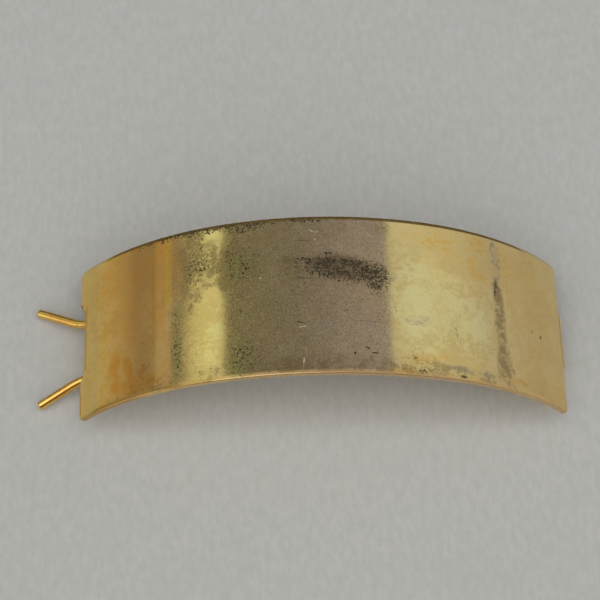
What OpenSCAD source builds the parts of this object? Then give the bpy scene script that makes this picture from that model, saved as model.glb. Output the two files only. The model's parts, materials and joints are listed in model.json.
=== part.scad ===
// Curved sheet-metal barrette with a pinch-open wire clasp.
// X runs along the barrette, with the catch at -X and the hinge at +X. Y runs across it and +Z is up.
// Z = 0 is the surface that it stands on, and X = 0, Y = 0 is the middle of its box.
// Heights in the modules are measured from the chord, the line through the plate's two end edges.

/* [Face plate] */
// Thickness of the sheet
sheet_t = 1.0; // [0.8:0.05:1.1]
// Width across the middle of the plate
plate_mid_w = 29.4; // [24:0.2:36]
// Width across each end of the plate
plate_end_w = 28.1; // [22:0.1:29]
// Radius of the outer face over the crown
crown_r = 69.5; // [68:0.5:72]
// Radius of the outer face on each shoulder
shoulder_r = 48; // [46:0.5:50]
// Radius of the outer face towards each end
tail_r = 32.5; // [31:0.5:34]
// Angle from the middle of the plate to the end of the crown
crown_angle = 14.7; // [14:0.1:15.4]
// Angle that each shoulder turns through
shoulder_angle = 19.5; // [19:0.1:20]
// Angle that each end turns through
tail_angle = 18.4; // [18:0.1:19]
// Radius of the four corners
corner_r = 1.0; // [0.5:0.1:3]

/* [Hinge] */
// Width of the tab that is rolled into the hinge knuckle
hinge_tab_w = 9.8; // [6:0.1:9.8]
// Outer radius of the folds where both tabs leave the plate
fold_r = 1.3; // [1.15:0.05:1.5]
// Height of the plate's end edges above the surface that the barrette stands on
stand_h = 5.35; // [5.2:0.05:5.6]
// Gap between the wire and the bore of the knuckle, all round
bore_gap = 0.06; // [0.03:0.01:0.1]
// Angle that the roll of the knuckle wraps round the wire
roll_angle = 285; // [240:5:290]

/* [Catch] */
// Width of the tab that is folded down into the catch
catch_tab_w = 14.1; // [13.9:0.1:15]
// Length of plate that is cut away before the catch tab is folded
catch_set_back = 1.75; // [1.2:0.05:2]
// Distance from the middle to the outer wall of each leg slot
slot_out_y = 6.55; // [6.5:0.01:6.65]
// Distance from the middle to the tip of each hook
hook_tip_y = 6.13; // [6.11:0.01:6.25]
// Distance from the middle to the inner wall of each leg slot
slot_in_y = 3.1; // [2.8:0.1:3.2]
// Height of the straight tip of each hook
hook_h = 1.1; // [0.8:0.1:1.4]

/* [Wire clasp] */
// Diameter of the wire
wire_d = 1.5; // [1.3:0.05:1.5]
// Distance from the middle to each leg beside the hinge
leg_hinge_y = 6.15; // [6.1:0.01:6.3]
// Distance from the middle to each leg where it starts to flare
leg_catch_y = 5.1; // [5:0.01:5.1]
// Slope of the legs where they leave the hinge
leg_rise = 20.4; // [20.2:0.1:20.6]
// Angle that each leg turns through on its way over to the catch
leg_turn = 37.9; // [37.7:0.1:38.1]
// Radius of each leg's bow
leg_r = 115; // [114.8:0.1:115.2]
// Radius of the sideways bend that flares each finger prong
flare_r = 9.5; // [9:0.1:10]
// Angle that each finger prong flares out by
flare_angle = 27.5; // [20:0.5:30]
// Length of the straight part of the rear finger prong
rear_prong_len = 6.4; // [5:0.1:9]
// Length of the straight part of the front finger prong
front_prong_len = 5.9; // [5:0.1:9]

/* [Hidden] */
$fn = 96;

gilt = "goldenrod";
worn_gilt = "darkgoldenrod";
wire_gilt = "gold";

// Outline of the plate, seen from the side
tail_from = crown_angle + shoulder_angle;
end_slope = tail_from + tail_angle;
half_chord = crown_r * sin(crown_angle)
    + shoulder_r * (sin(tail_from) - sin(crown_angle))
    + tail_r * (sin(end_slope) - sin(tail_from));
crown_h = crown_r * (1 - cos(crown_angle))
    + shoulder_r * (cos(crown_angle) - cos(tail_from))
    + tail_r * (cos(tail_from) - cos(end_slope));
function out_from(centre, radius, angle) = centre + radius * [sin(angle), cos(angle)];
crown_c = [0, crown_h - crown_r];
shoulder_c = out_from(crown_c, crown_r - shoulder_r, crown_angle);
tail_c = out_from(shoulder_c, shoulder_r - tail_r, tail_from);
// The plate's outer face where it slopes by angle, moved inwards by depth
function half_arch(angle, depth) =
    angle < crown_angle ? out_from(crown_c, crown_r - depth, angle)
    : angle < tail_from ? out_from(shoulder_c, shoulder_r - depth, angle)
    : out_from(tail_c, tail_r - depth, angle);
function arch_point(angle, depth) =
    angle < 0 ? [-half_arch(-angle, depth)[0], half_arch(-angle, depth)[1]]
    : half_arch(angle, depth);
arch_steps = 104;
function arch_points(from, to, depth) =
    let (steps = ceil(arch_steps * abs(to - from) / (2 * end_slope)))
    [for (i = [0 : steps]) arch_point(from + (to - from) * i / steps, depth)];

// Bow of the plate's two long edges, seen from above
edge_bow = (plate_mid_w - plate_end_w) / 2;
edge_r = (half_chord * half_chord + edge_bow * edge_bow) / (2 * edge_bow);

// Folds of the two tabs
hinge_fold_c = out_from([half_chord, 0], -fold_r, end_slope);
catch_from = end_slope - catch_set_back / tail_r * 180 / PI;
catch_fold_c = out_from(out_from(tail_c, tail_r, catch_from), -fold_r, catch_from);
relief = 0.25;

// Hinge knuckle and the wire in it
wire_r = wire_d / 2;
bore_r = wire_r + bore_gap;
knuckle_r = bore_r + sheet_t;
hinge_x = hinge_fold_c[0] + fold_r - knuckle_r;
hinge_z = knuckle_r - stand_h;
bend_r = 0.8 * wire_d;
leg_root = out_from([hinge_x, hinge_z], bend_r, leg_rise - 90);

// Legs of the clasp
root_gap = 0.03;
leg_c = out_from(leg_root, -leg_r, leg_rise);
leg_drop = leg_turn - leg_rise;
leg_end = out_from(leg_c, leg_r, -leg_drop);
leg_yaw = asin((leg_hinge_y - leg_catch_y) / (leg_root[0] - leg_end[0]));
tip_len = 0.25;

// Catch slots, just clear of the legs
catch_out_x = catch_fold_c[0] + fold_r;
slot_gap = 0.08;
function leg_z(x) = leg_end[1] - (leg_end[0] - x) * tan(leg_drop);
leg_half_h = wire_r / cos(leg_drop);
slot_top_z = leg_z(sheet_t - catch_out_x) + leg_half_h + slot_gap;
hook_top_z = leg_z(-catch_out_x) - leg_half_h - slot_gap;
slot_corner_r = 0.5;
tongue_r = 0.8;
tongue_end_z = -stand_h + 1.2;
catch_lead = 0.45;
cut = 1;

// Fine steps of the outlines, and the hairlines that keep touching curves apart or make them meet
arc_steps = 12;
edge_steps = 12;
tangent_ease = 0.005;
roll_start = 88;
joint_ease = 0.003;

// Middle of the whole box along X
longest_prong = max(rear_prong_len, front_prong_len) + tip_len;
tip_reach = flare_r * sin(flare_angle) + longest_prong * cos(flare_angle);
tip_rise = wire_r - tip_len;
x_low = leg_end[0] - tip_reach * cos(leg_drop) - tip_rise * sin(flare_angle);
x_high = hinge_fold_c[0] + fold_r;
x_mid = (x_low + x_high) / 2;

// Moves a shape from its place about the chord to its place on the stand
module stood() {
    translate([-x_mid, 0, stand_h])
        children();
}

// Gives an X-Z outline its width along Y
module across(width) {
    rotate([90, 0, 0])
        linear_extrude(height = width, center = true)
            children();
}

// A wire curved about the Z axis at the origin
module wire_bend(radius, angle) {
    rotate_extrude(angle = angle)
        translate([radius, 0])
            circle(r = wire_r);
}

// Joins two stretches of wire: a ball that is a hair fatter than they are
module wire_joint() {
    sphere(r = wire_r + joint_ease);
}

function side_edge(x) = plate_mid_w / 2 - edge_r + sqrt(edge_r * edge_r - x * x);

// The plate's outline from above, with its two bowed edges
module outline_from_above() {
    reach = half_chord + cut;
    xs = [for (i = [-edge_steps : edge_steps]) reach * i / edge_steps];
    translate([0, 0, -crown_h])
        linear_extrude(height = 3 * crown_h)
            polygon(concat(
                [for (x = xs) [x, -side_edge(x)]],
                [for (x = xs) [-x, side_edge(x)]]
            ));
}

// What is cut from the sheet to round one corner, square to the sheet
module corner_cut() {
    translate([half_chord, plate_end_w / 2, 0])
        rotate([0, end_slope, 0])
            linear_extrude(height = 4 * sheet_t, center = true)
                translate([-corner_r, -corner_r])
                    difference() {
                        square(corner_r + cut);
                        circle(r = corner_r);
                    }
}

module face_plate() {
    color(gilt)
        stood()
            difference() {
                intersection() {
                    across(plate_mid_w + cut)
                        polygon(concat(
                            arch_points(-end_slope, end_slope, 0),
                            arch_points(end_slope, -end_slope, sheet_t)
                        ));
                    outline_from_above();
                }
                for (flip_x = [0, 1], flip_y = [0, 1])
                    mirror([flip_x, 0, 0])
                        mirror([0, flip_y, 0])
                            corner_cut();
                across(catch_tab_w + 2 * relief)
                    polygon([
                        arch_point(-catch_from, -cut),
                        arch_point(-catch_from, sheet_t + cut),
                        [-half_chord, -2 * cut],
                        [-half_chord - 2 * cut, 2 * cut]
                    ]);
            }
}

// Points round an arc, with angles counted from straight up towards +X
function arc_points(centre, radius, from, to) = [
    for (i = [0 : arc_steps])
        out_from(centre, radius, from + (to - from) * i / arc_steps)
];

// Outline of a tab that folds from the plate's slope to straight down, and ends at height z
module fold_outline(centre, from, z) {
    outer_x = centre[0] + fold_r;
    polygon(concat(
        arc_points(centre, fold_r, from, 90),
        [[outer_x, z], [outer_x - sheet_t, z]],
        arc_points(centre, fold_r - sheet_t, 90, from)
    ));
}

// The rolled tube of the knuckle, open where its end comes back to the tab
module roll_outline() {
    reach = 2 * knuckle_r;
    translate([hinge_x, hinge_z])
        difference() {
            circle(r = knuckle_r - tangent_ease);
            circle(r = bore_r);
            polygon([
                [0, 0],
                reach * [sin(roll_angle - 270), cos(roll_angle - 270)],
                reach * [1, 1],
                reach * [sin(roll_start), cos(roll_start)]
            ]);
        }
}

module hinge_knuckle() {
    color(worn_gilt)
        stood() {
            across(hinge_tab_w)
                fold_outline(hinge_fold_c, end_slope, hinge_z);
            across(hinge_tab_w)
                roll_outline();
        }
}

// One leg slot of the catch as a Y-Z outline: a pocket over the hook, and a mouth that widens downwards
module slot_outline() {
    polygon(concat(
        arc_points([slot_out_y - slot_corner_r, slot_top_z - slot_corner_r], slot_corner_r, 90, 0),
        arc_points([slot_in_y + slot_corner_r, slot_top_z - slot_corner_r], slot_corner_r, 0, -90),
        arc_points([slot_in_y - tongue_r, tongue_end_z + tongue_r], tongue_r, 90, 180),
        [
            [0, tongue_end_z],
            [0, -stand_h - cut],
            [hook_tip_y + catch_lead, -stand_h - cut],
            [hook_tip_y + catch_lead, -stand_h],
            [hook_tip_y, hook_top_z - hook_h],
            [hook_tip_y, hook_top_z],
            [slot_out_y, hook_top_z]
        ]
    ));
}

module catch_tab() {
    color(worn_gilt)
        stood()
            mirror([1, 0, 0])
                difference() {
                    across(catch_tab_w)
                        fold_outline(catch_fold_c, catch_from, -stand_h);
                    for (side = [0, 1])
                        mirror([0, side, 0])
                            translate([catch_out_x - sheet_t - cut, 0, 0])
                                rotate([90, 0, 90])
                                    linear_extrude(height = sheet_t + 2 * cut)
                                        slot_outline();
                }
}

module wire_hinge_bar() {
    straight = leg_hinge_y - bend_r;
    color(wire_gilt)
        stood()
            translate([hinge_x, 0, hinge_z])
                rotate([0, leg_rise, 0]) {
                    rotate([90, 0, 0])
                        cylinder(r = wire_r, h = 2 * straight, center = true);
                    for (side = [0, 1])
                        mirror([0, side, 0])
                            translate([-bend_r, straight, 0])
                                wire_bend(bend_r, 90);
                }
}

// One leg, from its root beside the hinge to the tip of its finger prong.
// It flares towards side, where 1 is +Y and -1 is -Y.
module leg(side, prong_len) {
    gap_angle = root_gap / leg_r * 180 / PI;
    translate([leg_c[0] - leg_root[0], 0, leg_c[1] - leg_root[1]])
        rotate([0, -90, -90])
            rotate([0, 0, -leg_drop])
                wire_bend(leg_r, leg_turn - gap_angle, $fn = 360);
    translate([leg_end[0] - leg_root[0], 0, leg_end[1] - leg_root[1]])
        rotate([0, -leg_drop, 0]) {
            wire_joint();
            translate([0, side * flare_r, 0])
                rotate([0, 0, side > 0 ? -90 - flare_angle : 90])
                    wire_bend(flare_r, flare_angle);
            translate([-flare_r * sin(flare_angle), side * flare_r * (1 - cos(flare_angle)), 0])
                rotate([0, -90, -side * flare_angle]) {
                    wire_joint();
                    prong(prong_len);
                }
        }
}

// The straight end of a finger prong, with its tip eased
module prong(length) {
    cylinder(r = wire_r, h = length);
    translate([0, 0, length])
        cylinder(r1 = wire_r, r2 = wire_r - tip_len, h = tip_len);
}

module placed_leg(side, prong_len) {
    color(wire_gilt)
        stood()
            translate([leg_root[0], side * leg_hinge_y, leg_root[1]])
                rotate([0, 0, side * leg_yaw])
                    leg(side, prong_len);
}

module wire_leg_rear() {
    placed_leg(1, rear_prong_len);
}

module wire_leg_front() {
    placed_leg(-1, front_prong_len);
}

face_plate();
hinge_knuckle();
catch_tab();
wire_hinge_bar();
wire_leg_rear();
wire_leg_front();
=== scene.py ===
"""A gilt metal barrette: an arched, tarnished mirror of a plate over a springy wire clasp."""

import json
import math

import bmesh
import bpy
from mathutils import Matrix, Vector, noise


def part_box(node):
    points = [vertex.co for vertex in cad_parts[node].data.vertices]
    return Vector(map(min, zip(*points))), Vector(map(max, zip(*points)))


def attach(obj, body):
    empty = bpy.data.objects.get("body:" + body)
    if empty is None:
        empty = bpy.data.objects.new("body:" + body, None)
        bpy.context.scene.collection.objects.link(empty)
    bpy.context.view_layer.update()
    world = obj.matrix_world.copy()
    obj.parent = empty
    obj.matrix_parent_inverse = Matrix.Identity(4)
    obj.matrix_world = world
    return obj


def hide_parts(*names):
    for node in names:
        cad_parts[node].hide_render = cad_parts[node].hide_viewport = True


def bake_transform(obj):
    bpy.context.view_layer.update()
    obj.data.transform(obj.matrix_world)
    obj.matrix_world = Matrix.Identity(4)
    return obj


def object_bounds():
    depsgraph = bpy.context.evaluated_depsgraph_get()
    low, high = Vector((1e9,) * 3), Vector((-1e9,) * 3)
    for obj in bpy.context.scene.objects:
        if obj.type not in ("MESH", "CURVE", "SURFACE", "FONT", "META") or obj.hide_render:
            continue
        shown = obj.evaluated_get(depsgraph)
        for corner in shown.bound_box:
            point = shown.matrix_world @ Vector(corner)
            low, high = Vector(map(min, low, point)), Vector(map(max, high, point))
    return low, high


MM = 0.001
UP = Vector((0, 0, 1))

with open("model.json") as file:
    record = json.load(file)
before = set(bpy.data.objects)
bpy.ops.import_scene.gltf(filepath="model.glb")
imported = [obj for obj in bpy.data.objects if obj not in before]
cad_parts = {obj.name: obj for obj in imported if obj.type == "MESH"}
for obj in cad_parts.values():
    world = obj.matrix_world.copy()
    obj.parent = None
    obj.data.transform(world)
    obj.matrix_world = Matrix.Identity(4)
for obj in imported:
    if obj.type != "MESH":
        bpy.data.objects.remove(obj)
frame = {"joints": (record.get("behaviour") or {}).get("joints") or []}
cad_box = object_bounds()
joint_place = {joint["name"]: Vector(joint["pos_m"]) for joint in frame["joints"]}
plate_low, plate_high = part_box("face_plate")
plate_mid_x = (plate_low.x + plate_high.x) / 2

# The stamping: one sheet, arched, with a tab folded down at each end
SHEET_T = 1.0 * MM
CROWN_R, SHOULDER_R, TAIL_R = 69.5 * MM, 48 * MM, 32.5 * MM
CROWN_TURN, SHOULDER_TURN, TAIL_TURN = map(math.radians, (14.7, 19.5, 18.4))
END_SLOPE = CROWN_TURN + SHOULDER_TURN + TAIL_TURN
HALF_RUN = CROWN_R * CROWN_TURN + SHOULDER_R * SHOULDER_TURN + TAIL_R * TAIL_TURN
CURVE_EASE = 1.2 * MM
PLATE_MID_W, PLATE_END_W = 29.4 * MM, 28.1 * MM
CORNER_R = 1.0 * MM
FOLD_R = 1.3 * MM
CATCH_SET_BACK = 1.75 * MM
REAR_SWEEP, FRONT_SWEEP = 1.5 * MM, 2.5 * MM
RELIEF = 0.25 * MM
TAB_LAP = 0.3 * MM
TAB_SINK = 0.003 * MM
CATCH_TAB_W, HINGE_TAB_W = 14.1 * MM, 9.8 * MM
ROLL_TURN = math.radians(283)
BORE_GAP = 0.06 * MM

# The wire clasp
WIRE_R = 0.75 * MM
BEND_R = 1.2 * MM
LEG_RISE, LEG_TURN, LEG_YAW = map(math.radians, (20.4, 37.9, 0.806))
LEG_R = 115 * MM
FLARE_R = 9.5 * MM
FLARE_TURN = math.radians(27.5)
REAR_PRONG, FRONT_PRONG = 6.4 * MM, 5.9 * MM
TIP_LENGTH = 0.25 * MM


# ---------------------------------------------------------------- curves


class Track:
    """A line in the X-Z plane, followed by its length.

    Its pieces are (length, bend), with the bend in radians a metre.
    """

    def __init__(self, x, z, slope, pieces):
        self.pieces = []
        run = 0.0
        for length, bend in pieces:
            self.pieces.append((run, x, z, slope, bend))
            x, z, slope = self.step(x, z, slope, bend, length)
            run += length
        self.length = run

    @staticmethod
    def step(x, z, slope, bend, length):
        if abs(bend) < 1e-9:
            return x + length * math.cos(slope), z - length * math.sin(slope), slope
        after = slope + bend * length
        x += (math.sin(after) - math.sin(slope)) / bend
        z += (math.cos(after) - math.cos(slope)) / bend
        return x, z, after

    def at(self, run):
        """(x, z, slope) at this length from the start."""
        chosen = self.pieces[0]
        for piece in self.pieces:
            if piece[0] > run:
                break
            chosen = piece
        start, x, z, slope, bend = chosen
        return self.step(x, z, slope, bend, run - start)


def smooth(value):
    """Eases from 0 to 1 as value does."""
    value = min(1.0, max(0.0, value))
    return value * value * (3 - 2 * value)


def eased(run, change):
    """0 well before change and 1 well after it."""
    return 1 / (1 + math.exp((change - run) / CURVE_EASE))


def half_arch():
    """The plate's outer face from the crown to one end, curving harder and harder."""
    steps = 240
    length = HALF_RUN / steps
    to_shoulder = CROWN_R * CROWN_TURN
    to_tail = to_shoulder + SHOULDER_R * SHOULDER_TURN
    pieces = []
    for i in range(steps):
        run = (i + 0.5) * length
        bend = 1 / CROWN_R
        bend += (1 / SHOULDER_R - 1 / CROWN_R) * eased(run, to_shoulder)
        bend += (1 / TAIL_R - 1 / SHOULDER_R) * eased(run, to_tail)
        pieces.append((length, bend))
    return Track(0, 0, 0, pieces)


HALF_ARCH = half_arch()
arch_end_x, arch_end_z, _ = HALF_ARCH.at(HALF_RUN)
STRETCH_X = (plate_high.x - plate_mid_x) / arch_end_x
ARCH_DROP = (
    CROWN_R * (1 - math.cos(CROWN_TURN))
    + SHOULDER_R * (math.cos(CROWN_TURN) - math.cos(CROWN_TURN + SHOULDER_TURN))
    + TAIL_R * (math.cos(CROWN_TURN + SHOULDER_TURN) - math.cos(END_SLOPE))
)
STRETCH_Z = -ARCH_DROP / arch_end_z


def arch_at(run):
    """(x, z, slope) of the plate's outer face at this length from the crown, positive towards +X."""
    x, z, slope = HALF_ARCH.at(abs(run))
    side = 1 if run >= 0 else -1
    return plate_mid_x + side * x * STRETCH_X, plate_high.z + z * STRETCH_Z, side * slope


def ripple(run, across):
    """The plate is a little uneven under its polish."""
    broad = noise.noise(Vector((run / (11 * MM), across / (16 * MM), 3.1)))
    fine = noise.noise(Vector((run / (4 * MM), across / (7 * MM), 8.7)))
    return (0.012 * broad + 0.0016 * fine) * MM


def on_plate(run, across, depth):
    x, z, slope = arch_at(run)
    lift = ripple(run, across) - depth
    return Vector((x + lift * math.sin(slope), across, z + lift * math.cos(slope)))


# ---------------------------------------------------------------- sheet metal


def side_edge(run):
    """Half the plate's width: its long edges bow out towards the middle."""
    x = arch_at(run)[0] - plate_mid_x
    reach = plate_high.x - plate_mid_x
    return PLATE_MID_W / 2 - (PLATE_MID_W - PLATE_END_W) / 2 * (x / reach) ** 2


def arc(centre, radius, start, end, steps=8):
    """Points round a flat arc, with angles in degrees from the first axis to the second."""
    angles = [math.radians(start + (end - start) * i / steps) for i in range(steps + 1)]
    return [(centre[0] + radius * math.cos(a), centre[1] + radius * math.sin(a)) for a in angles]


def outward(before, here, after):
    """The outward mitre at a corner of an outline that runs anticlockwise."""
    sides = []
    for a, b in ((before, here), (here, after)):
        along = Vector((b[0] - a[0], b[1] - a[1])).normalized()
        sides.append(Vector((along.y, -along.x)))
    middle = (sides[0] + sides[1]).normalized()
    return middle / max(0.35, middle.dot(sides[0]))


def inset(outline, distance):
    count = len(outline)
    moved = []
    for i, here in enumerate(outline):
        out = outward(outline[i - 1], here, outline[(i + 1) % count])
        moved.append((here[0] - out.x * distance, here[1] - out.y * distance))
    return moved


def rim_profile(roll_width, roll_drop, edge_r, steps=5):
    """(outwards, depth) of the worn edge of a sheet: a slow roll-off and then a round arris."""
    points = []
    for i in range(1, steps + 1):
        share = i / steps
        points.append((roll_width * share, roll_drop * share * share))
    lean = math.atan2(2 * roll_drop, roll_width) if roll_width else 0
    for i in range(1, steps + 1):
        angle = lean + (math.pi / 2 - lean) * i / steps
        points.append(
            (
                roll_width + edge_r * (math.sin(angle) - math.sin(lean)),
                roll_drop + edge_r * (math.cos(lean) - math.cos(angle)),
            )
        )
    return points


def grid_cuts(mesh, axis, values):
    for value in values:
        place = Vector((0, 0, 0))
        place[axis] = value
        normal = Vector((0, 0, 0))
        normal[axis] = 1
        bmesh.ops.bisect_plane(
            mesh,
            geom=mesh.verts[:] + mesh.edges[:] + mesh.faces[:],
            dist=1e-8,
            plane_co=place,
            plane_no=normal,
        )


def sheet(name, outline, cuts, profile, place, square=lambda run, across: 1.0):
    """Sheet metal in the given flat outline, laid out by place(run, across, depth).

    Its rim follows profile, and square says by how much the rim is rounded at each place.
    """
    mesh = bmesh.new()
    reach = profile[-1][0]
    mesh.faces.new([mesh.verts.new((*point, 0)) for point in inset(outline, reach)])
    for axis, values in enumerate(cuts):
        grid_cuts(mesh, axis, values)
    mesh.normal_update()
    if sum(face.normal.z for face in mesh.faces) < 0:
        bmesh.ops.reverse_faces(mesh, faces=mesh.faces[:])
    top_verts, top_faces = mesh.verts[:], mesh.faces[:]
    border = {}
    for edge in mesh.edges:
        if len(edge.link_faces) == 1:
            loop = edge.link_loops[0]
            border[loop.vert] = loop.link_loop_next.vert
    before = {after: here for here, after in border.items()}
    under = {v: mesh.verts.new((v.co.x, v.co.y, SHEET_T)) for v in top_verts}
    rings = [{v: v for v in border}]
    lower = [(out, -depth) for out, depth in reversed(profile)]
    for out, depth in profile + lower:
        ring = {}
        for v in border:
            way = outward(before[v].co, v.co, border[v].co)
            rounding = square(v.co.x, v.co.y)
            level = depth * rounding if depth >= 0 else SHEET_T + depth * rounding
            ring[v] = mesh.verts.new((v.co.x + way.x * out, v.co.y + way.y * out, level))
        rings.append(ring)
    rings.append({v: under[v] for v in border})
    for upper, below in zip(rings, rings[1:]):
        for v, after in border.items():
            mesh.faces.new((upper[after], upper[v], below[v], below[after]))
    for face in top_faces:
        made = mesh.faces.new([under[v] for v in reversed(face.verts[:])])
        made.material_index = 1
    for v in mesh.verts:
        v.co = place(*v.co)
    return finished(name, mesh)


def finished(name, mesh):
    """The mesh as a smooth-shaded object."""
    bmesh.ops.recalc_face_normals(mesh, faces=mesh.faces[:])
    for face in mesh.faces:
        face.smooth = True
    data = bpy.data.meshes.new(name)
    mesh.to_mesh(data)
    mesh.free()
    made = bpy.data.objects.new(name, data)
    bpy.context.scene.collection.objects.link(made)
    return made


def spaced(start, end, step):
    """Evenly spaced values strictly between start and end."""
    count = max(1, round((end - start) / step))
    return [start + (end - start) * i / count for i in range(1, count)]


def plate_rounding(run, across):
    """The plate's rim is left square where a tab goes on from it."""
    if run < 0:
        tab, end = CATCH_TAB_W / 2, HALF_RUN - CATCH_SET_BACK
        past_tab = (-run - end) / (0.5 * MM)
    else:
        tab, end = HINGE_TAB_W / 2, HALF_RUN
        past_tab = 0.0
    if abs(run) < end - 1.2 * MM:
        return 1.0
    beside_tab = (abs(across) - tab) / RELIEF
    return min(1.0, max(0.0, beside_tab, past_tab) + 0.02)


def half_outline(sweep):
    """Half the plate's outline, from its hinge end to its catch end, for y above 0.

    Its catch end is swept in to the set-back tab over the length given.
    """
    run_steps = [0] + spaced(0, HALF_RUN - CORNER_R, 1.2 * MM)
    long_edge = [(run, side_edge(run)) for run in run_steps]
    end_y = side_edge(HALF_RUN)
    corner = arc((HALF_RUN - CORNER_R, end_y - CORNER_R), CORNER_R, 90, 0)
    hinge_end = [(HALF_RUN, HINGE_TAB_W / 2 + RELIEF), (HALF_RUN, HINGE_TAB_W / 2)]
    notch_y = CATCH_TAB_W / 2 + RELIEF
    catch_end = []
    for i in range(13):
        share = i / 12
        catch_end.append((HALF_RUN - CATCH_SET_BACK * smooth(share), notch_y - sweep * share))
    right = long_edge + corner + hinge_end
    left = [(-run, y) for run, y in long_edge[1:] + corner + catch_end]
    return right[::-1] + left


def face_plate():
    front = [(run, -y) for run, y in reversed(half_outline(FRONT_SWEEP))]
    outline = without_repeats(half_outline(REAR_SWEEP) + front)
    cuts = (
        spaced(-HALF_RUN, HALF_RUN, 0.45 * MM),
        spaced(-13 * MM, 13 * MM, 0.5 * MM),
    )
    profile = rim_profile(0.7 * MM, 0.07 * MM, 0.2 * MM)
    made = sheet("face_plate_stamping", outline, cuts, profile, on_plate, plate_rounding)
    tint_mesh(made)
    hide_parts("face_plate")
    return made


def without_repeats(points):
    kept = []
    for point in points:
        if not kept or math.dist(point, kept[-1]) > 1e-6:
            kept.append(point)
    if math.dist(kept[0], kept[-1]) < 1e-6:
        kept.pop()
    return kept


def tab_place(track, mirrored):
    def place(run, across, depth):
        x, z, slope = track.at(run)
        x -= (depth + TAB_SINK) * math.sin(slope)
        z -= (depth + TAB_SINK) * math.cos(slope)
        return Vector((2 * plate_mid_x - x if mirrored else x, across, z))

    return place


def fold_pieces(slope):
    """The short lap under the plate's end and the fold from there to straight down."""
    return [(TAB_LAP, 0), ((math.pi / 2 - slope) * FOLD_R, 1 / FOLD_R)]


def lap_start(run):
    """Where a tab starts: TAB_LAP back inside the plate from its edge at run."""
    x, z, slope = arch_at(run)
    return x - TAB_LAP * math.cos(slope), z + TAB_LAP * math.sin(slope), slope


def hinge_knuckle():
    """The hinge tab: down from the plate's end, then rolled round the wire."""
    axis = joint_place["clasp_swing"]
    roll_r = WIRE_R + BORE_GAP + SHEET_T
    x, z, slope = lap_start(HALF_RUN)
    fold = fold_pieces(slope)
    fold_end = Track(x, z, slope, fold + [(1, 0)]).at(sum(piece[0] for piece in fold))
    pieces = fold + [(fold_end[1] - axis.z, 0), (ROLL_TURN * roll_r, 1 / roll_r)]
    track = Track(x, z, slope, pieces)
    half = HINGE_TAB_W / 2
    soft = 0.35 * MM
    outline = [(0, -half)] + arc((track.length - soft, -half + soft), soft, -90, 0, 4)
    outline += arc((track.length - soft, half - soft), soft, 0, 90, 4) + [(0, half)]
    cuts = (spaced(0, track.length, 0.16 * MM), [])
    profile = rim_profile(0, 0, 0.14 * MM, 4)
    made = sheet("hinge_knuckle_rolled", outline, cuts, profile, tab_place(track, False))
    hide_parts("hinge_knuckle")
    return made


def catch_tab():
    """The catch tab: folded straight down, with a slot and a hook for each leg."""
    slot_out, hook_tip, slot_in = 6.55 * MM, 6.13 * MM, 3.1 * MM
    slot_top, hook_top, hook_low, tongue_end = 4.717 * MM, 2.669 * MM, 1.569 * MM, 1.2 * MM
    lead = 0.45 * MM
    slot_r, tongue_r = 0.5 * MM, 0.8 * MM
    x, z, slope = lap_start(HALF_RUN - CATCH_SET_BACK)
    fold = fold_pieces(slope)
    wall_run = sum(piece[0] for piece in fold)
    wall_z = Track(x, z, slope, fold + [(1, 0)]).at(wall_run)[1]
    track = Track(x, z, slope, fold + [(wall_z, 0)])
    half = CATCH_TAB_W / 2

    def at_height(height):
        return wall_run + wall_z - height

    side = [(0, half), (at_height(0), half), (at_height(0), hook_tip + lead)]
    side += [(at_height(hook_low), hook_tip), (at_height(hook_top), hook_tip)]
    side += [(at_height(hook_top), slot_out)]
    side += arc((at_height(slot_top - slot_r), slot_out - slot_r), slot_r, 90, 180)
    side += arc((at_height(slot_top - slot_r), slot_in + slot_r), slot_r, 180, 270)
    side += arc((at_height(tongue_end + tongue_r), slot_in - tongue_r), tongue_r, 90, 0)
    outline = without_repeats(side + [(run, -y) for run, y in reversed(side)])[::-1]
    cuts = (spaced(0, wall_run, 0.12 * MM) + [wall_run], [])
    profile = rim_profile(0, 0, 0.1 * MM, 4)
    made = sheet("catch_tab_formed", outline, cuts, profile, tab_place(track, True))
    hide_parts("catch_tab")
    return made


# ---------------------------------------------------------------- wire


class Walk:
    """A path drawn by walking: it keeps the points it has passed and its heading."""

    def __init__(self, place, heading):
        self.points = [place.copy()]
        self.heading = heading.normalized()

    def ahead(self, length, step):
        count = max(1, round(length / step))
        for _ in range(count):
            self.points.append(self.points[-1] + self.heading * (length / count))

    def turn(self, axis, angle, radius, step):
        """Turns about axis by angle, round a bend of this radius."""
        count = max(2, round(abs(angle) * radius / step))
        part = angle / count
        for _ in range(count):
            half = Matrix.Rotation(part / 2, 3, axis)
            self.heading = half @ self.heading
            self.points.append(self.points[-1] + self.heading * (2 * radius * math.sin(abs(part) / 2)))
            self.heading = half @ self.heading


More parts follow.
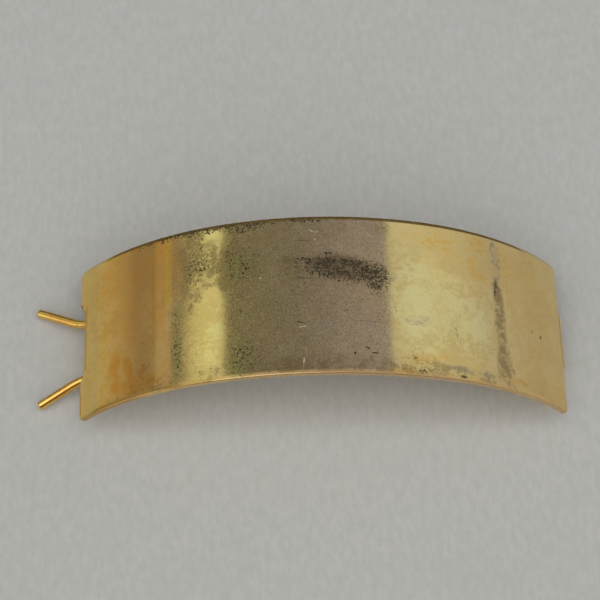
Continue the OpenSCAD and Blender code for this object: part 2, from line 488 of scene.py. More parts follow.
def tube(name, points, radii):
    """A round tube along the points. wire_run keeps each vertex's way along the wire and round it."""
    sides = 24
    mesh = bmesh.new()
    run_layer = mesh.verts.layers.float_vector.new("wire_run")
    rings = []
    forward = (points[1] - points[0]).normalized()
    side = forward.cross(UP).normalized()
    run = 0.0
    for i, (point, radius) in enumerate(zip(points, radii)):
        ahead = points[min(i + 1, len(points) - 1)] - points[max(i - 1, 0)]
        new_forward = ahead.normalized() if ahead.length > 1e-9 else forward
        side = (forward.rotation_difference(new_forward) @ side).normalized()
        forward = new_forward
        up = forward.cross(side)
        if i:
            run += (point - points[i - 1]).length
        ring = []
        for k in range(sides):
            angle = 2 * math.pi * k / sides
            out = side * math.cos(angle) + up * math.sin(angle)
            v = mesh.verts.new(point + out * radius)
            v[run_layer] = Vector((run, WIRE_R * math.cos(angle), WIRE_R * math.sin(angle)))
            ring.append(v)
        rings.append(ring)
    for first, second in zip(rings, rings[1:]):
        for k in range(sides):
            mesh.faces.new((first[k], second[k], second[(k + 1) % sides], first[(k + 1) % sides]))
    for ring in (rings[0], rings[-1]):
        mesh.faces.new(ring)
    return finished(name, mesh)


def half_clasp(name, side, prong):
    """Half of the one wire: from the middle of the hinge bar, round its bend to the prong's tip."""
    axis = joint_place["clasp_swing"]
    root = joint_place["rear_leg_pinch" if side > 0 else "front_leg_pinch"]
    out = Vector((0, side, 0))
    walk = Walk(axis, out)
    walk.ahead(abs(root.y) - BEND_R, 0.5 * MM)
    rise = Vector((-math.cos(LEG_RISE), 0, math.sin(LEG_RISE)))
    walk.turn(out.cross(rise), math.pi / 2, BEND_R, 0.15 * MM)
    walk.turn(UP, side * LEG_YAW, 1 * MM, 0.1 * MM)
    walk.turn(UP.cross(walk.heading), LEG_TURN, LEG_R, 0.8 * MM)
    tilt = walk.heading.cross(UP.cross(walk.heading)).normalized()
    walk.turn(tilt, -side * FLARE_TURN, FLARE_R, 0.3 * MM)
    walk.ahead(prong, 0.4 * MM)
    radii = [WIRE_R] * len(walk.points)
    for i in range(1, 7):
        angle = math.pi / 2 * i / 6
        walk.ahead(TIP_LENGTH * (math.sin(angle) - math.sin(angle - math.pi / 12)), 1)
        radii.append(WIRE_R - TIP_LENGTH * (1 - math.cos(angle)))
    made = tube(name, walk.points, radii)
    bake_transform(made)
    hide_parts("wire_hinge_bar", "wire_leg_rear" if side > 0 else "wire_leg_front")
    return made


# ---------------------------------------------------------------- shader nodes


class Graph:
    """Adds nodes to one shader tree. All methods but node and feed return the socket to use next."""

    def __init__(self, tree):
        self.tree = tree
        tree.nodes.clear()

    def node(self, kind, inputs=None, **settings):
        made = self.tree.nodes.new(kind)
        for name, value in settings.items():
            setattr(made, name, value)
        for key, value in (inputs or {}).items():
            self.feed(made.inputs[key], value)
        return made

    def feed(self, socket, value):
        if isinstance(value, bpy.types.NodeSocket):
            self.tree.links.new(value, socket)
        elif isinstance(value, tuple) and socket.type == "RGBA":
            socket.default_value = (*value, 1.0)
        else:
            socket.default_value = value

    def math(self, operation, a, b=0.0, c=0.0, clamp=False):
        inputs = {0: a, 1: b, 2: c}
        return self.node("ShaderNodeMath", inputs, operation=operation, use_clamp=clamp).outputs[0]

    def vector(self, operation, a, b=(0.0, 0.0, 0.0)):
        return self.node("ShaderNodeVectorMath", {0: a, 1: b}, operation=operation).outputs[0]

    def span(self, value, low, high, to_low=0.0, to_high=1.0):
        """Eases from to_low to to_high as value goes from low to high."""
        inputs = {0: value, 1: low, 2: high, 3: to_low, 4: to_high}
        made = self.node("ShaderNodeMapRange", inputs, interpolation_type="SMOOTHSTEP")
        return made.outputs[0]

    def mix(self, share, a, b):
        made = self.node("ShaderNodeMix", data_type="RGBA")
        self.feed(made.inputs[0], share)
        self.feed(made.inputs[6], a)
        self.feed(made.inputs[7], b)
        return made.outputs[2]

    def noise(self, place, scale, detail=2.0, roughness=0.5, distortion=0.0):
        inputs = {
            "Vector": place,
            "Scale": scale,
            "Detail": detail,
            "Roughness": roughness,
            "Distortion": distortion,
        }
        return self.node("ShaderNodeTexNoise", inputs).outputs["Fac"]

    def local(self, place, middle, half_sizes, turn=0.0):
        """place as seen from a patch: 1 away from its middle at its edge."""
        inputs = {
            "Vector": place,
            "Location": middle,
            "Rotation": (0.0, 0.0, math.radians(turn)),
            "Scale": half_sizes,
        }
        return self.node("ShaderNodeMapping", inputs, vector_type="TEXTURE").outputs[0]

    def length(self, vector):
        return self.node("ShaderNodeVectorMath", {0: vector}, operation="LENGTH").outputs["Value"]

    def patch(self, place, ragged, middle, half_sizes, turn=0.0, soft=0.5):
        """1 inside an ellipse seen from above and 0 outside it, with a ragged edge."""
        seen = self.local(place, (*middle, 0.0), (*half_sizes, 1000.0), turn)
        reach = self.math("ADD", self.length(seen), ragged)
        return self.span(reach, 1 + soft, 1 - soft)

    def ramp(self, value, stops):
        made = self.node("ShaderNodeValToRGB", {0: value})
        elements = made.color_ramp.elements
        while len(elements) < len(stops):
            elements.new(0.5)
        for element, (position, colour) in zip(elements, sorted(stops)):
            element.position = position
            element.color = (*colour, 1.0)
        return made.outputs[0]


def new_material(name):
    material = bpy.data.materials.new(name)
    material.use_nodes = True
    return material, Graph(material.node_tree)


def metal(graph, colour, roughness, normal):
    shader = graph.node(
        "ShaderNodeBsdfPrincipled",
        {"Base Color": colour, "Metallic": 1.0, "Roughness": roughness, "Normal": normal},
    )
    graph.node("ShaderNodeOutputMaterial", {"Surface": shader.outputs[0]})


# ---------------------------------------------------------------- materials

GILT = (0.95, 0.70, 0.31)
GILT_END = (1.0, 0.68, 0.18)
GILT_ORANGE = (0.96, 0.64, 0.22)
SOOT = (0.11, 0.095, 0.065)
RIM_COPPER = (0.72, 0.50, 0.27)
# Painted shade: the dark brown laid on the rear rim and the catch-end rims
EDGE_SHADE_BROWN = (0.50, 0.29, 0.11)

# Tints of the face, each a colour and its patches, laid on in this order. A patch is its middle (x, y)
# and half sizes in millimetres, its turn in degrees, and how strong it is. Each tint is an attribute of
# the plate's mesh.
PALE_GREEN = (0.95, 0.78, 0.38)
STAIN_ORANGE = (0.86, 0.47, 0.10)
STAIN_BROWN = (0.46, 0.32, 0.15)
BAND_ORANGE = (0.92, 0.53, 0.13)
BAND_YELLOW = (0.90, 0.72, 0.06)
RUSSET = (0.86, 0.50, 0.17)
MOSS = (0.56, 0.49, 0.20)
ASH = (0.64, 0.53, 0.36)
TINTS = {
    "pale": (PALE_GREEN, (
        ((21, -2), (6.5, 7), 0, 0.9),
        ((18, 2.5), (3.5, 4), 0, 0.6),
        ((27, -3.5), (3.2, 4.5), 0, 0.6),
        ((-14.5, -7), (2.2, 6), 0, 0.4),
    )),
    "orange": (STAIN_ORANGE, (
        ((-30.4, -7), (0.9, 2.2), -10, 0.75),
        ((-30.1, -9.4), (0.6, 1.0), 30, 0.6),
        ((-28.2, -8.5), (0.8, 2.4), 12, 0.7),
        ((-30.1, -11.3), (1.1, 1.3), 0, 0.6),
        ((-28.2, -11.6), (1.6, 1.2), 0, 0.65),
        ((-26.6, -12.4), (3.4, 1.5), 5, 0.75),
        ((-25.6, -10.4), (1.2, 1.6), 0, 0.5),
        ((-31, 9), (4, 3.5), 20, 0.3),
        ((-25, 9.5), (6, 5.5), 0, 0.42),
        ((-27.6, 2.5), (2.0, 8), 0, 0.3),
        ((-34.7, 6.4), (0.35, 1.0), 0, 0.45),
        ((-33.4, 8.2), (0.8, 3.2), 10, 0.35),
        ((35, -12.5), (1.7, 0.6), 0, 0.85),
        ((18.2, -12.2), (2.2, 1.5), -10, 0.6),
        ((16.2, -12.9), (1.0, 0.8), 0, 0.4),
        ((20.4, -11.3), (1.4, 0.7), -20, 0.4),
        ((15.8, -14), (2.4, 0.6), 0, 0.7),
        ((24, -11), (2.6, 1.0), -15, 0.4),
        ((29, 9.5), (7, 5.0), -12, 0.36),
        ((23, 11.5), (7, 3.0), 0, 0.30),
    )),
    "ash": (ASH, (
        ((25.2, -12.6), (2.0, 0.8), 0, 0.7),
        ((23.6, -13.2), (1.2, 0.6), 10, 0.5),
        ((29, -13.0), (1.6, 0.7), 0, 0.5),
        ((32.2, 8.5), (0.8, 5.5), 0, 0.75),
        ((24.2, -5.2), (0.8, 2.4), 8, 0.45),
        ((18.6, -4.4), (2.4, 0.9), 5, 0.4),
    )),
    "brown": (STAIN_BROWN, (
        ((-17.6, 8.6), (1.5, 5.5), -12, 0.8),
        ((-18.6, 11), (1.6, 3.2), 0, 0.7),
        ((-15.6, 6.6), (3.0, 4.6), -12, 0.70),
        ((-16.6, 3.2), (1.4, 3.6), -14, 0.6),
        ((-18.6, 1.0), (1.2, 4.0), -8, 0.45),
        ((-12.2, 5.8), (1.5, 4.4), 0, 1.0),
        ((-9.5, 8.0), (3.2, 4), 0, 0.2),
        ((-25.6, -8), (1.2, 5), 0, 0.25),
        ((32.3, -4), (0.9, 11.5), 0, 0.62),
        ((32.5, -10.5), (1.2, 5.0), 0, 0.50),
        ((32.05, 4.0), (0.6, 2.6), 0, 0.8),
        ((31.8, 1.6), (0.35, 1.6), 0, 0.4),
        ((13.2, -12.8), (1.6, 1.5), 0, 0.6),
        ((7.2, 4.6), (6.8, 2.4), -8, 0.85),
        ((4, -13.2), (34, 1.7), 0, 0.48),
        ((-17.8, 12.4), (0.9, 2.2), 0, 1.2),
        ((-17.8, 0.5), (0.6, 3), 0, 0.6),
        ((-1.6, 5.2), (2.2, 2.2), 0, 0.5),
        ((-16.2, 6), (0.9, 1.2), 0, 0.95),
        ((32.2, 9), (0.8, 4.5), 0, 0.5),
        ((13, 12.3), (1.6, 1.6), 0, 0.6),
    )),
    "moss": (MOSS, (
        ((-20.3, -8.5), (0.9, 6.5), 0, 0.8),
        ((-19.8, -1), (1.2, 3), 0, 0.55),
        ((-10.3, -10.9), (2.8, 3.6), 0, 0.75),
        ((-9.5, 5.6), (3.4, 3.4), 0, 0.6),
        ((-6, -3), (4, 4), 30, 0.3),
    )),
}
# Upright bands of the face: how far (x, y) each one reaches, its colour and how strong it is
BANDS = (
    ((-24.2, -22.1), (-1, 20), BAND_ORANGE, 0.7),
    ((-22.05, -21.2), (2.5, 20), BAND_YELLOW, 0.8),
    ((-21.0, -18.0), (4, 13.5), RUSSET, 0.75),
)
FLECK_FIELDS = (
    ((6.2, 4.4), (7.4, 2.2), -7, 0.86),
    ((11.9, 2.9), (2.2, 2.9), 0, 0.9),
    ((5.5, 6.1), (7.6, 0.5), -4, 1.0),
    ((9.6, 4.7), (3.4, 1.0), -14, 1.0),
    ((12.9, 4.0), (1.1, 1.6), 0, 1.0),
    ((32.0, 4.4), (0.45, 2.0), 0, 0.75),
    ((32.4, -6), (0.9, 10), 0, 0.22),
    ((-3, 0), (6, 7), 20, 0.2),
    ((4.5, 7.5), (0.7, 0.4), 0, 0.9),
    ((-16.9, 7.4), (2.6, 5.0), -14, 0.48),
    ((-16.4, 7.2), (1.7, 1.6), 0, 0.66),
    ((-11.6, 8.2), (1.0, 1.3), 0, 0.6),
    ((-9.4, 5.8), (1.2, 1.4), 0, 0.62),
    ((-10, 6.5), (4, 3.6), 0, 0.48),
    ((-14, 13.7), (13, 0.6), 0, 0.8),
    ((-9.6, 13.0), (2.6, 0.6), 0, 1.0),
    ((0.5, 13.9), (4, 0.4), 0, 0.8),
    ((-20.2, -6.5), (1.1, 8.5), 0, 0.48),
    ((-20.2, -9.5), (0.8, 3.5), 0, 0.62),
    ((-9.2, -11.2), (2.9, 3.2), 0, 0.62),
    ((18.9, -13.4), (0.8, 0.8), 0, 0.9),
    ((17.8, -11.3), (0.5, 0.4), 0, 0.8),
    ((16.0, -13.2), (1.6, 0.8), 0, 0.45),
    ((24.4, -5.6), (0.7, 2.6), 10, 0.4),
    ((18.7, -5.3), (1.6, 0.5), 0, 0.35),
)
DARK_MARKS = (
    ((4.5, 7.55), (0.4, 0.16), 0, 0.7),
    ((0.5, 10.0), (1.3, 0.07), -3, 0.6),
    ((0.3, 2.85), (2.4, 0.07), -2, 0.7),
    ((-0.5, -5.3), (0.8, 0.10), -10, 0.8),
    ((8.05, -11.1), (0.2, 0.24), 0, 1.0),
    ((11.3, -11.0), (0.55, 0.12), -4, 1.0),
    ((10.1, -10.1), (0.42, 0.16), -20, 0.85),
    ((11.5, -9.4), (0.9, 0.06), 38, 0.4),
    ((10.3, -5.2), (2.6, 0.06), -1, 0.5),
    ((37.85, -1.7), (0.16, 0.3), 10, 0.4),
    ((39.4, -2.15), (0.17, 0.34), -15, 0.75),
    ((25.4, -13.8), (0.55, 0.26), 0, 0.9),
    ((34.0, -10.7), (0.25, 0.6), 0, 0.35),
    ((-9.8, -2.4), (0.2, 0.16), 0, 0.7),
)
BRIGHT_NICKS = (
    ((-0.15, -6.15), (0.75, 0.10), 10, 1.0),
    ((-0.1, -12.4), (0.12, 0.55), -8, 1.0),
    ((1.8, 11.85), (0.5, 0.11), -38, 1.0),
    ((2.6, 11.6), (0.45, 0.10), 8, 0.9),
    ((2.35, 10.2), (0.14, 0.12), 0, 0.9),
    ((-6.6, 3.4), (0.17, 0.15), 0, 1.0),
)
# Ring-shaped water marks: middle (x, y), half sizes and how strong each one is
RINGS = (
    ((18.1, -10.8), (0.95, 1.1), 0.8),
    ((19.0, -13.0), (1.3, 1.3), 0.6),
    ((21.8, -8.6), (1.6, 1.3), 0.25),
    ((25.4, -7.6), (2.4, 2.0), 0.2),
)


def in_mm(graph):
    """Places on the object in millimetres."""
    coords = graph.node("ShaderNodeTexCoord").outputs["Object"]
    return graph.vector("MULTIPLY", coords, (1000.0, 1000.0, 1000.0))


def strongest(graph, parts):
    """The highest of (value, strength) parts at each place."""
    total = 0.0
    for value, strength in parts:
        total = graph.math("MAXIMUM", graph.math("MULTIPLY", value, strength), total)
    return total


def patch_amount(x, y, patches):
    """The strongest of several soft patches at a place in millimetres.

    A patch is full in its middle and fades out past its half sizes.
    """
    full, gone = 0.45, 1.55
    total = 0.0
    for (mid_x, mid_y), (half_x, half_y), turn, strength in patches:
        across, along = x - mid_x, y - mid_y
        if max(abs(across), abs(along)) > gone * max(half_x, half_y):
            continue
        c, s = math.cos(math.radians(turn)), math.sin(math.radians(turn))
        reach = math.hypot((across * c + along * s) / half_x, (along * c - across * s) / half_y)
        total = max(total, strength * smooth((gone - reach) / (gone - full)))
    return total


def tint_mesh(piece):
    """Lays each tint's patches on the mesh as an attribute with the tint's name."""
    places = [vertex.co / MM for vertex in piece.data.vertices]
    layers = {name: patches for name, (_, patches) in TINTS.items()}
    layers["flecks"] = FLECK_FIELDS
    for name, patches in layers.items():
        layer = piece.data.attributes.new(name, "FLOAT", "POINT")
        amounts = [patch_amount(place.x, place.y, patches) for place in places]
        layer.data.foreach_set("value", amounts)


def marks(graph, place, ragged, patches, soft):
    """The strongest of several ragged patches at each place."""
    return strongest(
        graph,
        [
            (graph.patch(place, ragged, middle, half_sizes, turn, soft), strength)
            for middle, half_sizes, turn, strength in patches
        ],
    )


def inside_span(graph, value, low, high, soft):
    """1 from low to high and 0 outside them."""
    rise = graph.span(value, low - soft, low + soft)
    return graph.math("MULTIPLY", rise, graph.span(value, high + soft, high - soft))


def rings(graph, place, ragged):
    parts = []
    for middle, half_sizes, strength in RINGS:
        seen = graph.local(place, (*middle, 0.0), (*half_sizes, 1000.0))
        reach = graph.math("ADD", graph.length(seen), ragged)
        parts.append((inside_span(graph, reach, 0.93, 1.0, 0.09), strength))
    return strongest(graph, parts)


def rim_share(graph, x, y):
    """1 on the plate's two long rims, 0 a little inside them."""
    from_middle = graph.math("SUBTRACT", x, plate_mid_x / MM)
    bow = (PLATE_MID_W - PLATE_END_W) / 2 / MM / ((plate_high.x - plate_mid_x) / MM) ** 2
    square = graph.math("MULTIPLY", from_middle, from_middle)
    out = graph.math("MULTIPLY_ADD", square, bow, graph.math("ABSOLUTE", y))
    half = PLATE_MID_W / 2 / MM
    return graph.span(out, half - 0.44, half - 0.20)


def end_share(graph, x):
    """1 along the plate's two ends, 0 a little inside them."""
    from_middle = graph.math("ABSOLUTE", graph.math("SUBTRACT", x, plate_mid_x / MM))
    reach = (plate_high.x - plate_mid_x) / MM
    return inside_span(graph, from_middle, reach - 0.20, reach + 0.05, 0.08)


def gilt_face():
    """The plate's face: mirror gilt with stains, bands, black flecks, grain, scratches and painted shade
    on its rims.
    """
    material, graph = new_material("gilt_face")
    place = in_mm(graph)
    x, y, _ = graph.node("ShaderNodeSeparateXYZ", {0: place}).outputs
    drift = graph.noise(place, 0.06, 3.0, 0.55)
    cloud = graph.noise(place, 0.3, 4.0, 0.6)
    mottle = graph.noise(place, 1.1, 4.0, 0.7)
    grain = graph.noise(place, 3.2, 3.0, 0.75)
    pepper = graph.noise(place, 2.6, 3.0, 0.75, 0.2)
    ragged = graph.math("MULTIPLY_ADD", graph.noise(place, 0.6, 5.0, 0.65), 1.8, -0.9)
    crumbly = graph.math("MULTIPLY_ADD", mottle, 2.4, -1.2)
    still = graph.math("MULTIPLY_ADD", pepper, 1.2, -0.6)

    # Warmer towards the catch end, with broad drifts and clouds
    colour = graph.mix(graph.span(x, -12.0, -26.0), GILT, GILT_ORANGE)
    colour = graph.mix(graph.span(x, -27.0, -34.0), colour, GILT_END)
    colour = graph.mix(graph.span(drift, 0.42, 0.68, 0.0, 0.4), colour, GILT_ORANGE)
    colour = graph.mix(graph.span(cloud, 0.40, 0.72, 0.0, 0.4), colour, (0.88, 0.74, 0.38))
    for (low_x, high_x), (low_y, high_y), tint, strength in BANDS:
        across = inside_span(graph, x, low_x, high_x, 0.12)
        along = graph.math("MULTIPLY_ADD", mottle, 3.0, y)
        share = graph.math("MULTIPLY", across, inside_span(graph, along, low_y, high_y, 1.5))
        share = graph.math("MULTIPLY", share, graph.span(grain, 0.32, 0.60, 0.6, 1.0))
        colour = graph.mix(graph.math("MULTIPLY", share, strength), colour, tint)

    # Uneven brown tarnish all over, less of it at the two ends, and the tints on top
    uneven = graph.math("MULTIPLY_ADD", mottle, 0.5, graph.math("MULTIPLY", cloud, 0.5))
    calm = graph.span(x, -36.0, -33.5, 0.5, 1.0)
    calm = graph.math("MULTIPLY", calm, graph.span(x, 35.5, 33.0, 0.6, 1.0))
    colour = graph.mix(
        graph.math("MULTIPLY", graph.span(uneven, 0.57, 0.42, 0.0, 0.24), calm),
        colour,
        STAIN_BROWN,
    )
    film = 0.0
    blotch = graph.span(uneven, 0.41, 0.59)
    for name, (tint, _) in TINTS.items():
        amount = graph.node("ShaderNodeAttribute", attribute_name=name).outputs["Fac"]
        share = graph.span(graph.math("MULTIPLY_ADD", blotch, 0.65, amount), 0.46, 1.25)
        share = graph.math("MULTIPLY", share, graph.span(amount, 0.0, 0.25))
        share = graph.math("MULTIPLY", share, graph.span(grain, 0.30, 0.56, 0.65, 1.0))
        colour = graph.mix(share, colour, tint)
        if name in ("ash", "brown", "moss"):
            film = graph.math("MAXIMUM", share, film)

    # The middle of the face is hazed all over, the rest hardly
    hazed = graph.math("MULTIPLY", graph.span(x, -22.0, -20.8), graph.span(x, 15.5, 13.0))
    bright_band = inside_span(graph, x, -16.5, -12.6, 1.0)
    hazed = graph.math("MULTIPLY", hazed, graph.math("MULTIPLY_ADD", bright_band, -0.8, 1.0))
    rim = rim_share(graph, x, y)
    inner = graph.math("MULTIPLY_ADD", rim, -0.8, 1.0)
    speck = graph.math("MULTIPLY", graph.span(grain, 0.58, 0.34), graph.math("MULTIPLY", calm, inner))
    speck = graph.math("MULTIPLY", speck, graph.math("MULTIPLY_ADD", hazed, 0.50, 0.13))
    colour = graph.mix(speck, colour, STAIN_BROWN)

    # Black flecks, marks, water rings, bright nicks and scratches
    field = graph.node("ShaderNodeAttribute", attribute_name="flecks").outputs["Fac"]
    field = graph.math("MAXIMUM", field, graph.math("MULTIPLY", hazed, 0.12))
    level = graph.math("MULTIPLY_ADD", graph.math("SUBTRACT", mottle, 0.5), 0.4, pepper)
    level = graph.math("MULTIPLY_ADD", field, -0.25, level)
    sooty = graph.span(field, 0.0, 0.25, 0.25, 0.95)
    flecks = graph.math("MULTIPLY", graph.span(level, 0.335, 0.265), sooty)
    colour = graph.mix(flecks, colour, SOOT)

    dark = marks(graph, place, still, DARK_MARKS, 0.35)
    ring = graph.math("MULTIPLY", rings(graph, place, crumbly), graph.span(pepper, 0.62, 0.42))
    dark = graph.math("MAXIMUM", dark, ring)
    colour = graph.mix(dark, colour, SOOT)
    nick = marks(graph, place, still, BRIGHT_NICKS, 0.35)
    colour = graph.mix(nick, colour, (1.0, 0.86, 0.66))

    long_place = graph.vector("MULTIPLY", place, (0.22, 5.0, 5.0))
    hairline = graph.noise(long_place, 1.0, 2.0, 0.5, 0.3)
    combed = graph.patch(place, ragged, (16.6, 5.6), (2.8, 2.2))
    scratch = graph.span(hairline, 0.66, 0.76)
    combed = graph.math("MULTIPLY", graph.span(hairline, 0.56, 0.64), combed)
    lines = strongest(graph, ((combed, 0.35), (scratch, 0.22)))
    colour = graph.mix(lines, colour, STAIN_BROWN)

    # The rims are worn to copper; the rear rim and the rims towards the catch end are darkened brown as
    # painted shade, and the end edges are darkened brown too
    worn = graph.math("MULTIPLY", rim, graph.span(x, -14.0, -8.0, 0.15, 1.0))
    worn = graph.math("MULTIPLY", worn, graph.span(mottle, 0.35, 0.6, 0.7, 1.0))
    colour = graph.mix(worn, colour, RIM_COPPER)
    # Painted shade: dark brown on the rear rim and the catch-end rims stands in for the dark
    # surroundings they reflect
    rim_painted_shade = graph.math("MAXIMUM", graph.span(y, 0.0, 4.0), graph.span(x, -24.0, -28.0))
    rim_painted_shade = graph.math("MAXIMUM", graph.math("MULTIPLY", rim, rim_painted_shade), end_share(graph, x))
    colour = graph.mix(graph.math("MULTIPLY", rim_painted_shade, 0.65), colour, EDGE_SHADE_BROWN)

    roughness = graph.span(drift, 0.3, 0.7, 0.055, 0.085)
    frosted = graph.math("MULTIPLY", graph.math("MULTIPLY_ADD", hazed, 0.8, 0.2), inner)
    frosted = graph.math("MULTIPLY", graph.span(grain, 0.50, 0.68), frosted)
    for share, rise in (
        (film, 0.16),
        (flecks, 0.25),
        (nick, 0.4),
        (scratch, 0.06),
        (worn, 0.22),
        (frosted, 0.18),
    ):
        roughness = graph.math("MULTIPLY_ADD", share, rise, roughness, clamp=True)

    height = graph.math("MULTIPLY", graph.noise(place, 2.2, 3.0, 0.7), 0.8)
    height = graph.math("MULTIPLY_ADD", scratch, -0.35, height)
    height = graph.math("MULTIPLY_ADD", flecks, -0.8, height)
    bump = graph.node("ShaderNodeBump", {"Strength": 1.0, "Distance": 0.0018 * MM, "Height": height})
    metal(graph, colour, roughness, bump.outputs[0])
    return material


def gilt_inside():
    """The plate's underside: thinner, duller gilt with brown tarnish."""
    material, graph = new_material("gilt_inside")
    place = in_mm(graph)
    cloud = graph.noise(place, 0.16, 4.0, 0.6)
    grain = graph.noise(place, 1.4, 3.0, 0.65)
    colour = graph.mix(graph.span(cloud, 0.40, 0.66), (0.86, 0.62, 0.27), (0.55, 0.33, 0.13))
    colour = graph.mix(graph.span(grain, 0.42, 0.32, 0.0, 0.6), colour, (0.25, 0.17, 0.08))
    roughness = graph.span(cloud, 0.3, 0.7, 0.26, 0.42)
    lines = graph.noise(graph.vector("MULTIPLY", place, (0.3, 5.0, 5.0)), 1.0, 2.0)
    height = graph.math("ADD", lines, graph.math("MULTIPLY", grain, 0.8))
    bump = graph.node("ShaderNodeBump", {"Strength": 1.0, "Distance": 0.006 * MM, "Height": height})
    metal(graph, colour, roughness, bump.outputs[0])
    return material


def gilt_wire():
    """Drawn wire: bright warm gilt with fine lines along it and brown tarnish in places."""
    material, graph = new_material("gilt_wire")
    run = graph.node("ShaderNodeAttribute", attribute_name="wire_run").outputs["Vector"]
    place = graph.vector("MULTIPLY", run, (1000.0, 1000.0, 1000.0))
    cloud = graph.noise(place, 0.25, 3.0, 0.6)
    grain = graph.noise(place, 2.4, 3.0, 0.65)
    colour = graph.mix(graph.span(cloud, 0.38, 0.66), (0.98, 0.66, 0.20), (0.93, 0.52, 0.13))
    colour = graph.mix(graph.span(grain, 0.40, 0.30, 0.0, 0.55), colour, (0.34, 0.18, 0.06))
    roughness = graph.span(cloud, 0.3, 0.7, 0.14, 0.26)
    lines = graph.noise(graph.vector("MULTIPLY", place, (0.15, 7.0, 7.0)), 1.0, 2.0)
    height = graph.math("ADD", lines, graph.math("MULTIPLY", grain, 0.6))
    bump = graph.node("ShaderNodeBump", {"Strength": 1.0, "Distance": 0.003 * MM, "Height": height})
    metal(graph, colour, roughness, bump.outputs[0])
    return material


def paper():
    """The plain pale surface underneath."""
    material, graph = new_material("paper")
    place = in_mm(graph)
    fibre = graph.noise(graph.vector("MULTIPLY", place, (1.0, 0.45, 1.0)), 0.9, 5.0, 0.7)
    cloud = graph.noise(place, 0.02, 3.0, 0.5)
    blotch = graph.noise(place, 0.25, 3.0, 0.6)
    colour = graph.mix(graph.span(cloud, 0.3, 0.7), (0.555, 0.560, 0.535), (0.580, 0.578, 0.552))
    colour = graph.mix(graph.span(blotch, 0.35, 0.65), colour, (0.585, 0.575, 0.565))
    colour = graph.mix(graph.span(fibre, 0.35, 0.65, 0.0, 0.6), colour, (0.49, 0.50, 0.48))
    bump = graph.node("ShaderNodeBump", {"Strength": 0.5, "Distance": 0.05 * MM, "Height": fibre})
    shader = graph.node(
        "ShaderNodeBsdfPrincipled",
        {"Base Color": colour, "Roughness": 0.9, "Normal": bump.outputs[0]},
    )
    graph.node("ShaderNodeOutputMaterial", {"Surface": shader.outputs[0]})
    return material


# ---------------------------------------------------------------- studio

# The camera looks down at AIM from the front, turned a little to the left of the barrette
CAMERA_TILT, CAMERA_YAW, CAMERA_ROLL = map(math.radians, (31.17, 3.85, 2.49))
CAMERA_DISTANCE = 404.9 * MM
AIM_RIGHT, AIM_UP = -3.88 * MM, 7.02 * MM
CAMERA_LENS = 146.4

# What hangs over the barrette from -X to +X: (degrees from overhead, light)
SKY = (
    (-98, (0.44, 0.43, 0.35)),
    (-86, (0.44, 0.40, 0.31)),
    (-78, (0.42, 0.36, 0.27)),
    (-70, (0.37, 0.32, 0.24)),
    (-65, (0.30, 0.255, 0.21)),
    (-56, (0.295, 0.265, 0.21)),
    (-54.8, (0.40, 0.36, 0.29)),
    (-47.8, (0.40, 0.355, 0.31)),
    (-46.8, (0.30, 0.30, 0.29)),
    (-43, (0.375, 0.37, 0.32)),
    (-38, (0.66, 0.74, 0.55)),
    (-29, (0.67, 0.73, 0.56)),
    (-27.1, (0.52, 0.56, 0.42)),
    (-25.5, (0.20, 0.21, 0.18)),
    (-23, (0.20, 0.21, 0.19)),
    (-20, (0.22, 0.23, 0.235)),
    (-6, (0.205, 0.215, 0.25)),
    (4, (0.245, 0.25, 0.35)),
    (16, (0.31, 0.32, 0.47)),
    (21.4, (0.305, 0.325, 0.47)),
    (22.6, (0.54, 0.58, 0.55)),
    (30, (0.585, 0.64, 0.61)),
    (39, (0.57, 0.60, 0.53)),
    (48, (0.54, 0.575, 0.54)),
    (60, (0.455, 0.485, 0.50)),
    (70, (0.45, 0.46, 0.455)),
    (82, (0.41, 0.41, 0.40)),
    (98, (0.41, 0.38, 0.31)),
)
# What stands before the barrette, below the sky, from -X to +X: (sideways reach of the way to it, light)
FRONT = (
    (-0.80, (0.30, 0.27, 0.20)),
    (-0.70, (0.30, 0.28, 0.20)),
    (-0.62, (0.60, 0.58, 0.42)),
    (-0.36, (0.66, 0.66, 0.50)),
    (-0.24, (0.46, 0.43, 0.40)),
    (0.25, (0.46, 0.44, 0.46)),
    (0.45, (0.58, 0.56, 0.50)),
    (1.00, (0.46, 0.44, 0.38)),
)
FAR_SIDE = (0.13, 0.12, 0.09)
NEAR_FLOOR = (0.19, 0.14, 0.08)
# Two lamps: (way to it, cosines at its soft edge, light)
LAMPS = (
    ((-0.25, -0.25, 0.935), (0.945, 0.982), (1.75, 1.70, 1.60)),
    ((-0.88, -0.34, 0.34), (0.91, 0.965), (0.90, 0.86, 0.74)),
)
# What lights the matt floor: from high in front, from low in front and from behind
ROOM_HIGH, ROOM_LOW, ROOM_REAR = (2.24, 2.28, 2.29), (1.28, 1.30, 1.30), (0.06, 0.06, 0.06)


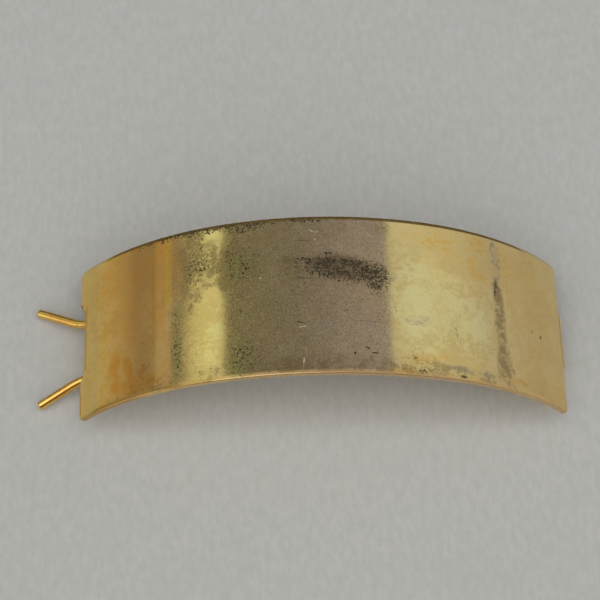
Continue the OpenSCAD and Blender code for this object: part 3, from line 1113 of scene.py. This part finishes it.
def add_world():
    """Soft surroundings: a dark ceiling between two pale panels, a bright front and a dim far side."""
    world = bpy.data.worlds.new("studio")
    world.use_nodes = True
    bpy.context.scene.world = world
    graph = Graph(world.node_tree)
    way = graph.node("ShaderNodeTexCoord").outputs["Generated"]
    x, y, z = graph.node("ShaderNodeSeparateXYZ", {0: way}).outputs
    around = graph.math("DEGREES", graph.math("ARCTAN2", x, z))
    stops = [((degrees + 100) / 200, light) for degrees, light in SKY]
    sky = graph.ramp(graph.math("MULTIPLY_ADD", around, 1 / 200, 0.5), stops)
    stops = [((reach + 1) / 2, light) for reach, light in FRONT]
    front = graph.ramp(graph.math("MULTIPLY_ADD", x, 0.5, 0.5), stops)
    low = graph.math("MAXIMUM", graph.span(z, 0.30, 0.12), graph.span(y, -0.56, -0.68))
    ahead = graph.span(graph.math("ABSOLUTE", x), 0.78, 0.58)
    front = graph.mix(graph.math("MULTIPLY", low, ahead), front, NEAR_FLOOR)
    for lamp_way, (low, high), lamp_light in LAMPS:
        near_lamp = graph.node("ShaderNodeVectorMath", {0: way, 1: lamp_way}, operation="DOT_PRODUCT")
        front = graph.mix(graph.span(near_lamp.outputs["Value"], low, high), front, lamp_light)
    sky = graph.mix(graph.span(y, 0.57, 0.66), sky, FAR_SIDE)
    light = graph.mix(graph.span(y, 0.43, 0.36), sky, front)
    room = graph.mix(graph.span(z, 0.70, 0.90), ROOM_LOW, ROOM_HIGH)
    room = graph.mix(graph.span(y, 0.12, -0.12), ROOM_REAR, room)
    rays = graph.node("ShaderNodeLightPath").outputs
    shown = graph.mix(rays["Is Diffuse Ray"], light, room)
    shown = graph.mix(rays["Is Camera Ray"], shown, (0.42, 0.42, 0.405))
    background = graph.node("ShaderNodeBackground", {"Color": shown, "Strength": 1.0})
    graph.node("ShaderNodeOutputWorld", {"Surface": background.outputs[0]})


def add_camera():
    data = bpy.data.cameras.new("camera")
    data.lens = CAMERA_LENS
    data.sensor_width = 36
    data.clip_start, data.clip_end = 10 * MM, 10.0
    camera = bpy.data.objects.new("camera", data)
    bpy.context.scene.collection.objects.link(camera)
    bpy.context.scene.camera = camera
    yaw = Matrix.Rotation(-CAMERA_YAW, 3, "Z")
    right = yaw @ Vector((1, 0, 0))
    up = yaw @ Vector((0, math.cos(CAMERA_TILT), math.sin(CAMERA_TILT)))
    back = right.cross(up)
    chord_z = plate_high.z - ARCH_DROP
    aim = Vector((plate_mid_x, 0, chord_z)) + right * AIM_RIGHT + up * AIM_UP
    rolled_right = right * math.cos(CAMERA_ROLL) + up * math.sin(CAMERA_ROLL)
    rolled_up = up * math.cos(CAMERA_ROLL) - right * math.sin(CAMERA_ROLL)
    turn = Matrix((rolled_right, rolled_up, back)).transposed()
    camera.matrix_world = Matrix.Translation(aim + back * CAMERA_DISTANCE) @ turn.to_4x4()


def add_floor(material):
    size = 1.6
    mesh = bmesh.new()
    bmesh.ops.create_grid(mesh, x_segments=8, y_segments=8, size=size / 2)
    floor = finished("floor", mesh)
    floor.location = (0, 0, cad_box[0].z)
    floor.data.materials.append(material)


# ---------------------------------------------------------------- the scene

add_camera()
add_world()
bpy.context.scene.view_settings.view_transform = "Standard"

face, inside, wire, floor_paper = gilt_face(), gilt_inside(), gilt_wire(), paper()
add_floor(floor_paper)

for piece in (face_plate(), hinge_knuckle(), catch_tab()):
    piece.data.materials.append(face)
    piece.data.materials.append(inside)
    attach(piece, "plate")

for piece in (
    half_clasp("clasp_wire_rear", 1, REAR_PRONG),
    half_clasp("clasp_wire_front", -1, FRONT_PRONG),
):
    piece.data.materials.append(wire)
